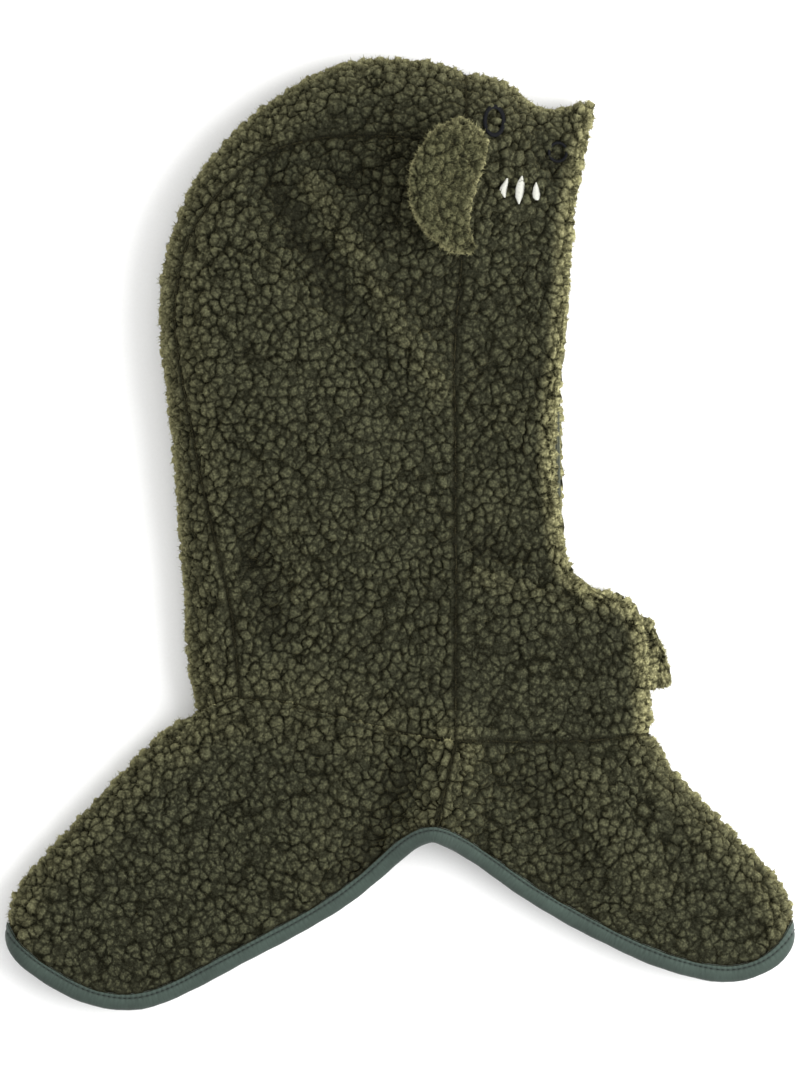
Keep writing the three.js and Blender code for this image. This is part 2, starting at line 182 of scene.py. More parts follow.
class HoodPile(bpy.types.PropertyGroup):
    lump: FloatProperty(
        name="Lump", description="Width of a curl of pile", default=4.2 * MM, unit="LENGTH"
    )
    cluster: FloatProperty(
        name="Cluster",
        description="Width of a group of curls between two deeper cracks",
        default=10.5 * MM,
        unit="LENGTH",
    )
    tall: FloatProperty(
        name="Height", description="From the crack to the top of a curl", default=2.3 * MM, unit="LENGTH"
    )
    ear_lump: FloatProperty(
        name="Ear lump", description="Width of a curl on the ears", default=3.7 * MM, unit="LENGTH"
    )
    mesh_step: FloatProperty(
        name="Mesh step", description="Edge length of the pile's mesh", default=0.85 * MM, unit="LENGTH"
    )
    under_step: FloatProperty(
        name="Underside step",
        description="Edge length of the mesh on the side that the hood lies on",
        default=2.2 * MM,
        unit="LENGTH",
    )
    # The colours run from crack through middle to tip with the depth in the pile: painted shade deep in
    # the cracks and painted light on the tops of the curls.
    crack: FloatVectorProperty(
        name="Crack", description="Colour deep in the pile", subtype="COLOR", size=4,
        default=linear("#0d0e07"),
    )
    middle: FloatVectorProperty(
        name="Middle", description="Colour on the flanks of a curl", subtype="COLOR", size=4,
        default=linear("#24251b"),
    )
    tip: FloatVectorProperty(
        name="Tip", description="Colour on the top of a curl", subtype="COLOR", size=4,
        default=linear("#434432"),
    )
    # Painted sheen: the pale yellowish colour the pile is blended to where it stands open and on the
    # hood's sides
    sheen_rim: FloatVectorProperty(
        name="Rim", description="Colour of the pile where it is seen from the side", subtype="COLOR",
        size=4, default=linear("#8a8763"),
    )
    # The ears' colours run the same way: painted shade deep in the cracks, painted light on the tops.
    ear_crack: FloatVectorProperty(
        name="Ear crack", description="Colour deep in the ears' pile", subtype="COLOR", size=4,
        default=linear("#0f100a"),
    )
    ear_middle: FloatVectorProperty(
        name="Ear middle", description="Colour on the flanks of the ears' curls", subtype="COLOR",
        size=4, default=linear("#2f3020"),
    )
    ear_tip: FloatVectorProperty(
        name="Ear tip", description="Colour on the top of the ears' curls", subtype="COLOR", size=4,
        default=linear("#4c4c36"),
    )


class HoodTape(bpy.types.PropertyGroup):
    colour: FloatVectorProperty(
        name="Tape", description="Colour of the jersey tape", subtype="COLOR", size=4,
        default=linear("#313c36"),
    )
    pucker: FloatProperty(
        name="Pucker",
        description="Spacing of the puckers at the stitches",
        default=2.4 * MM,
        unit="LENGTH",
    )
    stitch: FloatProperty(
        name="Stitch", description="Length of a stitch with its gap", default=2.4 * MM, unit="LENGTH"
    )


class HoodThread(bpy.types.PropertyGroup):
    # Dark thread for the eye ring, and for the second ring, which is painted shadow
    dark: FloatVectorProperty(
        name="Dark thread", description="Colour of the rings", subtype="COLOR", size=4,
        default=linear("#121316"),
    )
    white: FloatVectorProperty(
        name="White thread", description="Colour of the marks", subtype="COLOR", size=4,
        default=linear("#b5b5ac"),
    )
    pitch: FloatProperty(
        name="Pitch", description="From one satin thread to the next", default=0.45 * MM, unit="LENGTH"
    )


class HoodStage(bpy.types.PropertyGroup):
    camera_high: FloatProperty(
        name="Camera height", description="Of the camera over the floor", default=12.0, unit="LENGTH"
    )
    key_power: FloatProperty(
        name="Key light", description="Of the large soft light", default=27.0, unit="POWER"
    )
    fill: FloatProperty(
        name="Fill", description="Brightness of the room around", default=1.15, min=0.0
    )


# Small helpers for node trees


def add(tree, kind, links=None, **settings):
    """A node with its settings, and each input linked to a socket or set to a value."""
    node = tree.nodes.new(kind)
    for name, value in settings.items():
        setattr(node, name, value)
    feed(tree, node, links or {})
    return node


def feed(tree, node, links):
    """Links each of the node's named inputs to a socket, or sets it to a value."""
    for name, value in links.items():
        if isinstance(value, bpy.types.NodeSocket):
            tree.links.new(value, node.inputs[name])
        else:
            node.inputs[name].default_value = value


def maths(tree, operation, *values):
    """The result of an operation on values."""
    return add(tree, "ShaderNodeMath", dict(enumerate(values)), operation=operation).outputs[0]


def vectors(tree, operation, *values):
    """The result of an operation on vectors."""
    return add(tree, "ShaderNodeVectorMath", dict(enumerate(values)), operation=operation).outputs[0]


def scaled(tree, vector, factor):
    """A vector or a colour, times the factor."""
    links = {0: vector, "Scale": factor}
    return add(tree, "ShaderNodeVectorMath", links, operation="SCALE").outputs[0]


def ranged(tree, value, given=(0, 1), wanted=(0, 1), **settings):
    """A value of the given range, moved to the wanted range and held in it."""
    ends = zip(("From Min", "From Max", "To Min", "To Max"), (*given, *wanted))
    return add(tree, "ShaderNodeMapRange", {"Value": value, **dict(ends)}, **settings).outputs[0]


def blend(tree, share, first, second):
    """A colour from the first, at a share of 0, to the second, at 1."""
    links = {"Factor": share, 6: first, 7: second}
    return add(tree, "ShaderNodeMix", links, data_type="RGBA").outputs[2]


def pile_height(tree, place, lump, cluster, tall):
    """Height of the curls in millimetres, from 0 in a crack, at a place on the bare cloth.

    Voronoi cells are the curls. Curls whose seeds lie in different cells of a coarser pattern belong
    to different clusters, and the crack between them is deeper. The same nodes shape the mesh and
    colour it, so both agree. Gives the sockets in_mm, height, relief, which is the height as if all
    curls were equally tall, and tint.
    """
    in_mm = vectors(tree, "MULTIPLY", place, (1 / MM,) * 3)
    bent = in_mm
    for spacing, reach in ((6.0, 3.0), (2.1, 1.5), (0.9, 0.5)):
        wander = add(
            tree, "ShaderNodeTexNoise", {"Vector": in_mm, "Scale": 1 / spacing, "Detail": 0.0}
        ).outputs["Color"]
        centred = vectors(tree, "SUBTRACT", wander, (0.5,) * 3)
        bent = vectors(tree, "MULTIPLY_ADD", centred, (reach,) * 3, bent)
    cells = {"Vector": bent, "Scale": 1 / lump, "Randomness": 0.95}
    gap = add(tree, "ShaderNodeTexVoronoi", cells, feature="DISTANCE_TO_EDGE").outputs["Distance"]
    near = add(tree, "ShaderNodeTexVoronoi", cells, feature="F1").outputs
    following = add(tree, "ShaderNodeTexVoronoi", cells, feature="F2").outputs
    groups = [
        add(
            tree,
            "ShaderNodeTexVoronoi",
            {"Vector": seed, "Scale": 1 / cluster, "Randomness": 1.0},
            feature="F1",
        ).outputs["Color"]
        for seed in (near["Position"], following["Position"])
    ]
    differ = add(
        tree, "ShaderNodeVectorMath", {0: groups[0], 1: groups[1]}, operation="DISTANCE"
    ).outputs["Value"]
    edge = maths(tree, "MULTIPLY", gap, lump)

    # A curl is a dome round its seed, and falls off into the crack
    from_seed = ranged(tree, near["Distance"], (0, 0.8))
    squared = maths(tree, "MULTIPLY", from_seed, from_seed)
    under = maths(tree, "SUBTRACT", 1.0, squared)
    dome = maths(tree, "SQRT", under)
    flank = ranged(tree, edge, (0, lump * 0.24), (0, 0.5), interpolation_type="SMOOTHSTEP")
    round_top = maths(tree, "MULTIPLY_ADD", dome, 0.5, flank)

    # The crack round a cluster is deeper, by more between some clusters than between others
    near_crack = ranged(tree, edge, (0, 1.1), (tall * 0.4, 0.0), interpolation_type="SMOOTHSTEP")
    deep = maths(tree, "MULTIPLY", near_crack, differ)

    tint = add(tree, "ShaderNodeSeparateXYZ", {0: near["Color"]}).outputs[0]
    share = ranged(tree, tint, (0, 1), (tall * 0.62, tall * 1.3))
    lumps, even = (maths(tree, "MULTIPLY", round_top, scale) for scale in (share, tall))
    height, relief = (maths(tree, "SUBTRACT", top, deep) for top in (lumps, even))
    return {"in_mm": in_mm, "height": height, "relief": relief, "tint": tint}


def pile_shaper(name, material, lump, cluster, tall, sink, fuzz):
    """Geometry nodes that raise the pile along the cloth's normals, never through the floor.

    The solid's outer face is where the curls' tops are, so the pile is sunk by most of its height.
    Loose fibre ends stand out of the curls, fuzz of them on each square millimetre.
    """
    tree = bpy.data.node_groups.new(name, "GeometryNodeTree")
    tree.interface.new_socket("Geometry", in_out="INPUT", socket_type="NodeSocketGeometry")
    tree.interface.new_socket("Geometry", in_out="OUTPUT", socket_type="NodeSocketGeometry")
    given = add(tree, "NodeGroupInput").outputs[0]
    position = add(tree, "GeometryNodeInputPosition").outputs[0]
    faced = add(
        tree,
        "GeometryNodeStoreNamedAttribute",
        {"Geometry": given, "Name": "cloth_place", "Value": position},
        data_type="FLOAT_VECTOR",
        domain="POINT",
    ).outputs[0]
    normal = add(
        tree, "GeometryNodeInputNamedAttribute", {"Name": "cloth_normal"}, data_type="FLOAT_VECTOR"
    ).outputs[0]
    height = pile_height(tree, position, lump, cluster, tall)["height"]
    cover, on_pile = (
        add(tree, "GeometryNodeInputNamedAttribute", {"Name": name}, data_type="FLOAT").outputs[0]
        for name in ("cover", "on_pile")
    )
    covered = maths(tree, "MULTIPLY", height, cover)
    sunk = maths(tree, "MULTIPLY_ADD", on_pile, -sink, covered)
    metres = maths(tree, "MULTIPLY", sunk, MM)
    step = scaled(tree, normal, metres)
    moved = vectors(tree, "ADD", position, step)
    parts = add(tree, "ShaderNodeSeparateXYZ", {0: moved}).outputs
    floor = maths(tree, "MAXIMUM", parts[2], 0.0)
    held = add(tree, "ShaderNodeCombineXYZ", {0: parts[0], 1: parts[1], 2: floor}).outputs[0]
    shaped = add(
        tree, "GeometryNodeSetPosition", {"Geometry": faced, "Position": held}
    ).outputs[0]
    upward = add(tree, "ShaderNodeSeparateXYZ", {0: normal}).outputs[2]
    loose = add(
        tree, "GeometryNodeInputNamedAttribute", {"Name": "loose"}, data_type="FLOAT"
    ).outputs[0]
    grown = maths(tree, "ADD", loose, 0.1)
    clear = maths(tree, "GREATER_THAN", parts[2], 2.6 * MM)
    open_side = maths(tree, "GREATER_THAN", upward, -0.3)
    for factor in (clear, open_side, cover):
        grown = maths(tree, "MULTIPLY", grown, factor)
    density = maths(tree, "MULTIPLY", grown, fuzz / MM**2)
    roots = add(
        tree, "GeometryNodeDistributePointsOnFaces", {"Mesh": shaped, "Density": density, "Seed": 4}
    ).outputs
    fibre = add(
        tree,
        "GeometryNodeMeshCone",
        {"Vertices": 3, "Radius Bottom": 0.17 * MM, "Radius Top": 0.0, "Depth": 1.0 * MM},
    ).outputs[0]
    lean = add(
        tree,
        "FunctionNodeRandomValue",
        {"Min": (-0.9, -0.9, 0.0), "Max": (0.9, 0.9, 6.3), "Seed": 5},
        data_type="FLOAT_VECTOR",
    ).outputs[0]
    turned = add(
        tree,
        "FunctionNodeRotateRotation",
        {"Rotation": roots["Rotation"], "Rotate By": lean},
        rotation_space="LOCAL",
    ).outputs[0]
    length = add(
        tree,
        "FunctionNodeRandomValue",
        {"Min": (0.8, 0.8, 0.9), "Max": (1.2, 1.2, 2.3), "Seed": 6},
        data_type="FLOAT_VECTOR",
    ).outputs[0]
    fibres = add(
        tree,
        "GeometryNodeInstanceOnPoints",
        {"Points": roots["Points"], "Instance": fibre, "Rotation": turned, "Scale": length},
    ).outputs[0]
    real = add(tree, "GeometryNodeRealizeInstances", {0: fibres}).outputs[0]
    dyed = add(tree, "GeometryNodeSetMaterial", {"Geometry": real, "Material": material}).outputs[0]
    together = add(tree, "GeometryNodeJoinGeometry")
    tree.links.new(dyed, together.inputs[0])
    tree.links.new(shaped, together.inputs[0])
    add(tree, "NodeGroupOutput", {0: together.outputs[0]})
    return tree


def new_material(name):
    """A material with nodes, its tree and its shader."""
    material = bpy.data.materials.new(name)
    material.use_nodes = True
    return material, material.node_tree, material.node_tree.nodes["Principled BSDF"]


def teddy_fleece(name, lump, cluster, tall, curl, crack, middle, tip, sheen_rim):
    # Polyester pile knitted into jersey and tumbled into curls: matt, with painted shade dark between the
    # curls and painted light paler on top, and a soft yellowish sheen from the shader, with a painted
    # sheen where the pile is open or on the hood's sides.
    material, tree, shader = new_material(name)
    place = add(tree, "ShaderNodeAttribute", attribute_name="cloth_place").outputs["Vector"]
    pile = pile_height(tree, place, lump, cluster, tall)
    in_mm = pile["in_mm"]

    # Small curls of fibre on each lump, with painted shade dark between them
    small = add(
        tree,
        "ShaderNodeTexVoronoi",
        {"Vector": in_mm, "Scale": 1 / curl, "Randomness": 1.0},
        feature="SMOOTH_F1",
    ).outputs["Distance"]
    fibres = add(
        tree,
        "ShaderNodeTexNoise",
        {"Vector": in_mm, "Scale": 1.6 / curl, "Detail": 2.0, "Roughness": 0.6, "Distortion": 0.8},
    ).outputs["Fac"]
    rough = maths(tree, "MULTIPLY_ADD", small, -0.9, fibres)
    lifted = maths(tree, "MULTIPLY_ADD", rough, 0.9, pile["relief"])
    depth = ranged(tree, lifted, (tall * -0.15, tall * 1.35))
    cover, pale, valley_shade = (
        add(tree, "ShaderNodeAttribute", attribute_name=name).outputs["Fac"]
        for name in ("cover", "pale", "valley_shade")
    )
    # Painted shade: towards a seam the colour slides down the ramp towards the crack
    seam_shade = ranged(tree, cover, (SEAM_COVER, 0.9), (0.12, 1))
    depth = maths(tree, "MULTIPLY", depth, seam_shade)
    # The ramp paints shade deep in the pile and light on the tops of the curls
    ramp = add(tree, "ShaderNodeValToRGB", {0: depth})
    stops = ramp.color_ramp.elements
    stops[0].position = 0.1
    stops[0].color = crack
    stops[1].position = 1.0
    stops[1].color = tip
    stops.new(0.6).color = middle

    # Painted highlights where curl ends catch the light, with painted shade between them, a tint of its
    # own for each curl, and broad wear
    specks = ranged(tree, rough, (-0.35, 0.35), (0.42, 1.74))
    each = ranged(tree, pile["tint"], (0, 1), (0.94, 1.06))
    wear = add(
        tree, "ShaderNodeTexNoise", {"Vector": in_mm, "Scale": 1 / 45, "Detail": 2.0}
    ).outputs["Fac"]
    broad = ranged(tree, wear, (0.3, 0.7), (0.95, 1.05))
    # Painted shade: the pile is darker in the valleys of the cloth
    valley_darkening = ranged(tree, valley_shade, (0, 1), (1.0, 0.55))
    # Painted shade in the seam's crease
    crease = ranged(tree, cover, (SEAM_COVER, 0.7), (0.5, 1))
    shade = specks
    for factor in (each, broad, valley_darkening, crease):
        shade = maths(tree, "MULTIPLY", shade, factor)
    # Painted sheen: where the pile stands open and on the hood's sides, it is blended to a pale
    # yellowish colour
    above_crack = maths(tree, "MULTIPLY", pale, depth)
    rimmed = blend(tree, above_crack, ramp.outputs[0], sheen_rim)
    colour = scaled(tree, rimmed, shade)
    bump = add(tree, "ShaderNodeBump", {"Height": rough, "Strength": 1.0, "Distance": 0.7 * MM})
    finish = {
        "Base Color": colour,
        "Normal": bump.outputs[0],
        "Roughness": 0.95,
        "Specular IOR Level": 0.1,
        "Sheen Weight": 0.3,
        "Sheen Roughness": 0.5,
        "Sheen Tint": linear("#a39b68"),
    }
    feed(tree, shader, finish)
    return material


def jersey_backing():
    # The knitted side of the fleece, brushed lightly: flat sage green with fine wales
    material, tree, shader = new_material("fleece jersey backing")
    place = add(tree, "ShaderNodeTexCoord").outputs["Object"]
    in_mm = vectors(tree, "MULTIPLY", place, (1 / MM,) * 3)
    wales = add(
        tree, "ShaderNodeTexWave", {"Vector": in_mm, "Scale": 0.35, "Distortion": 1.5, "Detail": 2.0}
    ).outputs["Fac"]
    colour = blend(tree, wales, linear("#31342a"), linear("#45493b"))
    bump = add(tree, "ShaderNodeBump", {"Height": wales, "Strength": 0.5, "Distance": 0.3 * MM})
    feed(tree, shader, {"Base Color": colour, "Normal": bump.outputs[0], "Roughness": 0.9})
    return material


# Meshes


def merged_copy(node):
    """The node's mesh as a bmesh, its loose triangles joined."""
    bm = bmesh.new()
    bm.from_mesh(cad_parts[node].data)
    bmesh.ops.remove_doubles(bm, verts=bm.verts, dist=0.01 * MM)
    return bm


def node_tree_of(*nodes):
    """A tree of the named nodes' triangles, for distances and rays."""
    bm = bmesh.new()
    for node in nodes:
        bm.from_mesh(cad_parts[node].data)
    tree = BVHTree.FromBMesh(bm)
    bm.free()
    return tree


def tree_of_places(places):
    """A tree of the places, for the nearest one."""
    tree = KDTree(len(places))
    for i, place in enumerate(places):
        tree.insert(place, i)
    tree.balance()
    return tree


def smooth_regions(bm, sharp=math.radians(50)):
    """Sets of faces that meet at less than the sharp angle, the largest area first."""
    left = set(bm.faces)
    regions = []
    for start in bm.faces:
        if start not in left:
            continue
        left.remove(start)
        region, waiting = [start], [start]
        while waiting:
            for edge in waiting.pop().edges:
                for face in edge.link_faces:
                    if face in left and edge.calc_face_angle(math.pi) < sharp:
                        left.remove(face)
                        region.append(face)
                        waiting.append(face)
        regions.append(region)
    return sorted(regions, key=lambda region: -sum(f.calc_area() for f in region))


def add_piece(name, bm, materials):
    """An object of the bmesh in the scene, with its materials. It frees the bmesh."""
    mesh = bpy.data.meshes.new(name)
    bm.to_mesh(mesh)
    bm.free()
    piece = bpy.data.objects.new(name, mesh)
    bpy.context.scene.collection.objects.link(piece)
    for material in materials:
        mesh.materials.append(material)
    mesh.shade_smooth()
    return piece


def apply_modifiers(piece):
    """Makes the piece's modifiers part of its mesh."""
    depsgraph = bpy.context.evaluated_depsgraph_get()
    made = bpy.data.meshes.new_from_object(
        piece.evaluated_get(depsgraph), preserve_all_data_layers=True, depsgraph=depsgraph
    )
    piece.modifiers.clear()
    before = piece.data
    piece.data = made
    made.name = piece.name
    bpy.data.meshes.remove(before)


def vertex_places(mesh):
    """The places of the mesh's vertices, a row for each."""
    places = np.empty(len(mesh.vertices) * 3)
    mesh.vertices.foreach_get("co", places)
    return places.reshape(-1, 3)


def subdivided(piece, levels, rounds=2):
    """Rounds the piece, after rounds of moving its vertices out until the surface meets their places."""
    piece.modifiers.new("rounded", "SUBSURF")
    piece.modifiers["rounded"].levels = levels
    piece.modifiers["rounded"].render_levels = levels
    goal = vertex_places(piece.data)
    cage = goal.copy()
    for _ in range(rounds):
        depsgraph = bpy.context.evaluated_depsgraph_get()
        reached = vertex_places(piece.evaluated_get(depsgraph).data)[: len(goal)]
        cage += goal - reached
        piece.data.vertices.foreach_set("co", cage.ravel())
        piece.data.update()
    apply_modifiers(piece)


def refined(bm, step, chosen):
    """Cuts the edges of the chosen faces until they are about as long as the step."""
    edges = sorted({e for f in bm.faces if chosen(f) for e in f.edges}, key=lambda e: e.index)
    if not edges:
        return
    mean = sum(e.calc_length() for e in edges) / len(edges)
    cuts = round(mean / step) - 1
    if cuts > 0:
        bmesh.ops.subdivide_edges(bm, edges=edges, cuts=cuts, use_grid_fill=True, smooth=0.0)


def distances(places, chosen, targets, most):
    """Distance of each chosen place to the nearest target as a share of the most, up to 1."""
    shares = np.ones(len(places))
    if len(targets):
        tree = tree_of_places(targets)
        for i in np.flatnonzero(chosen):
            shares[i] = min(tree.find(places[i])[2] / most, 1.0)
    return shares * shares * (3 - 2 * shares)


def cover_with_pile(piece, shaper, free_edge=(), rolled_and_sheen=0.0):
    """Weights the pile, lower at the seams and open at free edges, with its painted sheen and painted
    valley shade, then raises it.
    """
    mesh = piece.data
    count = len(mesh.vertices)
    places = vertex_places(mesh)
    kinds = np.empty(len(mesh.polygons), int)
    mesh.polygons.foreach_get("material_index", kinds)
    sizes = np.empty(len(mesh.polygons), int)
    mesh.polygons.foreach_get("loop_total", sizes)
    corners = np.empty(len(mesh.loops), int)
    mesh.loops.foreach_get("vertex_index", corners)
    corner_kinds = np.repeat(kinds, sizes)
    pile, other = np.zeros(count, bool), np.zeros(count, bool)
    pile[corners[corner_kinds == PILE]] = True
    other[corners[corner_kinds != PILE]] = True
    from_seam = distances(places, pile, places[pile & other], SEAM_FALL * MM)
    from_edge = distances(places, pile, free_edge, ROLL_WIDE * MM)
    bend = np.zeros(count)
    if "bend" in mesh.attributes:
        mesh.attributes["bend"].data.foreach_get("value", bend)
    bent = np.clip(bend / BEND_OPEN, 0, 1)
    open_and_sheen = np.maximum(np.maximum(ROLL_OPEN_AND_SHEEN * (1 - from_edge), bent), rolled_and_sheen)
    taller = 1 + ROLL_TALLER * (1 - from_edge) + OPEN_TALLER * bent

    # The pile grows along the normals of its own faces, also where it ends at a seam
    normals = np.empty(len(mesh.polygons) * 3)
    mesh.polygons.foreach_get("normal", normals)
    areas = np.empty(len(mesh.polygons))
    mesh.polygons.foreach_get("area", areas)
    weighted = normals.reshape(-1, 3) * (areas * (kinds == PILE))[:, None]
    cloth_normal = np.zeros((count, 3))
    np.add.at(cloth_normal, corners, np.repeat(weighted, sizes, axis=0))
    length = np.linalg.norm(cloth_normal, axis=1)
    cloth_normal[length > 0] /= length[length > 0, None]
    plain = np.empty(count * 3)
    mesh.vertices.foreach_get("normal", plain)
    cloth_normal[length == 0] = plain.reshape(-1, 3)[length == 0]
    attribute = mesh.attributes.new("cloth_normal", "FLOAT_VECTOR", "POINT")
    attribute.data.foreach_set("vector", cloth_normal.ravel().astype(np.float32))

    # Painted sheen on the sides of the folded hood, where the cloth's normal lies nearly level
    level = np.abs(cloth_normal[:, 2])
    side_sheen = SIDE_SHEEN * np.clip((SIDE_FROM - level) / (SIDE_FROM - SIDE_FULL), 0, 1)

    # The shading breaks where the pile ends
    mesh.shade_smooth()
    edges = np.empty(len(mesh.loops), int)
    mesh.loops.foreach_get("edge_index", edges)
    beside_pile, beside_other = np.zeros(len(mesh.edges), bool), np.zeros(len(mesh.edges), bool)
    beside_pile[edges[corner_kinds == PILE]] = True
    beside_other[edges[corner_kinds != PILE]] = True
    sharp = mesh.attributes.new("sharp_edge", "BOOLEAN", "EDGE")
    sharp.data.foreach_set("value", beside_pile & beside_other)
    weights = {
        "cover": pile * (SEAM_COVER + (1 - SEAM_COVER) * from_seam) * taller,
        "on_pile": pile * (SEAM_SINK + (1 - SEAM_SINK) * from_seam) * taller,
        "loose": np.minimum(open_and_sheen, MOST_LOOSE),
        "pale": np.maximum(open_and_sheen, side_sheen),
        "valley_shade": np.clip(bend / BEND_SHADE_FULL, 0, 1),
    }
    for name, values in weights.items():
        attribute = mesh.attributes.new(name, "FLOAT", "POINT")
        attribute.data.foreach_set("value", values.astype(np.float32))
    modifier = piece.modifiers.new("pile", "NODES")
    modifier.node_group = shaper
    apply_modifiers(piece)


def neighbours_of(node):
    """A tree of the pieces that may be sewn to a panel."""
    return node_tree_of(*[n for n in (*PANELS, HEM) if n != node])


def classify(bm, neighbours):
    """Marks each face of a panel's wall as pile, backing, seam strip or free edge."""
    middle_high = 14 * MM
    regions = smooth_regions(bm)

    def apart(region):
        area = sum(f.calc_area() for f in region)
        return sum(f.calc_area() * abs(f.calc_center_median().z - middle_high) for f in region) / area

    outer, inner = sorted(regions[:2], key=apart, reverse=True)
    for face in outer:
        face.material_index = PILE
    for face in inner:
        face.material_index = BACKING
    for region in regions[2:]:
        for face in region:
            near = neighbours.find_nearest(face.calc_center_median())[3] < SEWN_WITHIN * MM
            face.material_index = SEAM_STRIP if near else FREE_EDGE


def outer_vertices(bm):
    """The vertices of the pile side."""
    return [v for v in bm.verts if any(f.material_index == PILE for f in v.link_faces)]


def outer_cloth():
    """A tree of the places on the outer side of all the panels."""
    places = []
    for node in PANELS:
        bm = merged_copy(node)
        classify(bm, neighbours_of(node))
        places += [v.co.copy() for v in outer_vertices(bm)]
        bm.free()
    return tree_of_places(places)


def mark_bend(bm, cloth):
    """Keeps how far, in millimetres, each vertex of the pile side stands out of the cloth round it."""
    layer = bm.verts.layers.float.new("bend")
    for vert in outer_vertices(bm):
        around = [place for place, _, _ in cloth.find_range(vert.co, BEND_REACH * MM)]
        normal = sum((f.normal for f in vert.link_faces if f.material_index == PILE), Vector())
        vert[layer] = (vert.co - sum(around, Vector()) / len(around)).dot(normal.normalized()) / MM


def border_edges(bm, kinds, others):
    """Edges with a face of one of the kinds on one side and of the others on the other side."""
    found = []
    for edge in bm.edges:
        sides = [f.material_index for f in edge.link_faces]
        if len(sides) == 2 and (
            (sides[0] in kinds and sides[1] in others) or (sides[1] in kinds and sides[0] in others)
        ):
            found.append(edge)
    return found


def bevelled(bm, edges, offset, segments):
    """Rounds the edges."""
    bmesh.ops.bevel(
        bm,
        geom=edges,
        offset=offset,
        offset_type="OFFSET",
        segments=segments,
        profile=0.5,
        affect="EDGES",
        material=-1,
        clamp_overlap=True,
    )


def quads_from(bm):
    """Joins pairs of triangles, so that the mesh rounds evenly."""
    bmesh.ops.join_triangles(
        bm,
        faces=bm.faces,
        cmp_materials=True,
        angle_face_threshold=math.radians(40),
        angle_shape_threshold=math.radians(60),
    )


def refined_for_pile(piece, pile, lowest=-0.35):
    """Makes the mesh fine enough for the curls, coarser on the side that lies on the floor."""
    bm = bmesh.new()
    bm.from_mesh(piece.data)
    for step, below in ((pile.mesh_step, False), (pile.under_step, True)):
        bm.normal_update()
        bm.edges.index_update()
        refined(
            bm,
            step,
            lambda f: f.material_index == PILE
            and (f.normal.z < lowest) == below
            and f.calc_area() > step * step,
        )
    bm.to_mesh(piece.data)
    bm.free()


def panel_piece(node, materials, shaper, pile, cloth):
    """A panel of fleece: its solid's wall rounded at the edges and covered with pile outside."""
    tape = node_tree_of(HEM)
    bm = merged_copy(node)
    classify(bm, neighbours_of(node))
    mark_bend(bm, cloth)
    quads_from(bm)
    rims = [
        edge
        for edge in border_edges(bm, (PILE, BACKING), (FREE_EDGE,))
        if not any(f.material_index == SEAM_STRIP for v in edge.verts for f in v.link_faces)
    ]
    bevelled(bm, rims, EDGE_ROUND * MM, EDGE_STEPS)

    # Seams keep their place, and their corners stay square, while the rest is rounded
    crease = bm.edges.layers.float.new("crease_edge")
    seam_edges = border_edges(bm, (PILE, BACKING), (SEAM_STRIP,))
    for edge in seam_edges:
        edge[crease] = 1.0
    for edge in bm.edges:
        kinds = {f.material_index for f in edge.link_faces}
        if kinds == {SEAM_STRIP} and edge.calc_face_angle(0) > math.radians(40):
            edge[crease] = 1.0
        if kinds == {SEAM_STRIP, FREE_EDGE}:
            edge[crease] = 1.0
    piece = add_piece(node + "_fleece", bm, materials)
    subdivided(piece, 2)

    # The pile meets its neighbour's at a seam and leans over the tape at the hem
    bm = bmesh.new()
    bm.from_mesh(piece.data)
    seam = {v for e in border_edges(bm, (PILE, FREE_EDGE), (SEAM_STRIP,)) for v in e.verts}
    for vert in seam:
        outward = sum((f.normal for f in vert.link_faces if f.material_index == SEAM_STRIP), Vector())
        lean = LEAN_OVER_SEAM
        if tape.find_nearest(vert.co)[3] < TAPE_WITHIN * MM:
            lean = LEAN_OVER_TAPE
        elif any(f.material_index == FREE_EDGE for f in vert.link_faces):
            lean = LEAN_AT_CORNER
        vert.co += outward.normalized() * lean * MM
    free_edge = {v for f in bm.faces if f.material_index == FREE_EDGE for v in f.verts}
    free_places = [v.co.copy() for v in free_edge]
    for vert in free_edge - seam:
        outward = sum((f.normal for f in vert.link_faces if f.material_index == FREE_EDGE), Vector())
        vert.co += outward.normalized() * LEAN_AT_EDGE * MM
    for face in bm.faces:
        if face.material_index == FREE_EDGE:
            face.material_index = PILE
    bm.to_mesh(piece.data)
    bm.free()
    refined_for_pile(piece, pile)
    cover_with_pile(piece, shaper, free_places)
    placed(piece, node)
    return piece


def placed(piece, node):
    """The piece rides with the hood's root and stands in for its node, which is hidden."""
    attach(piece, "root")
    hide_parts(node)


def puffed_piece(node, name, material, shaper, pile, edge, levels, rounds, rolled_and_sheen):
    """A stuffed or double piece of fleece with pile all over, its solid's edges rounded off."""
    bm = merged_copy(node)
    sharp = [e for e in bm.edges if e.calc_face_angle(0) > math.radians(50)]
    if edge:
        bevelled(bm, sharp, edge, EDGE_STEPS)
    quads_from(bm)
    for face in bm.faces:
        face.material_index = PILE
    piece = add_piece(name, bm, [material])
    subdivided(piece, levels, rounds)
    refined_for_pile(piece, pile)
    cover_with_pile(piece, shaper, rolled_and_sheen=rolled_and_sheen)
    return piece


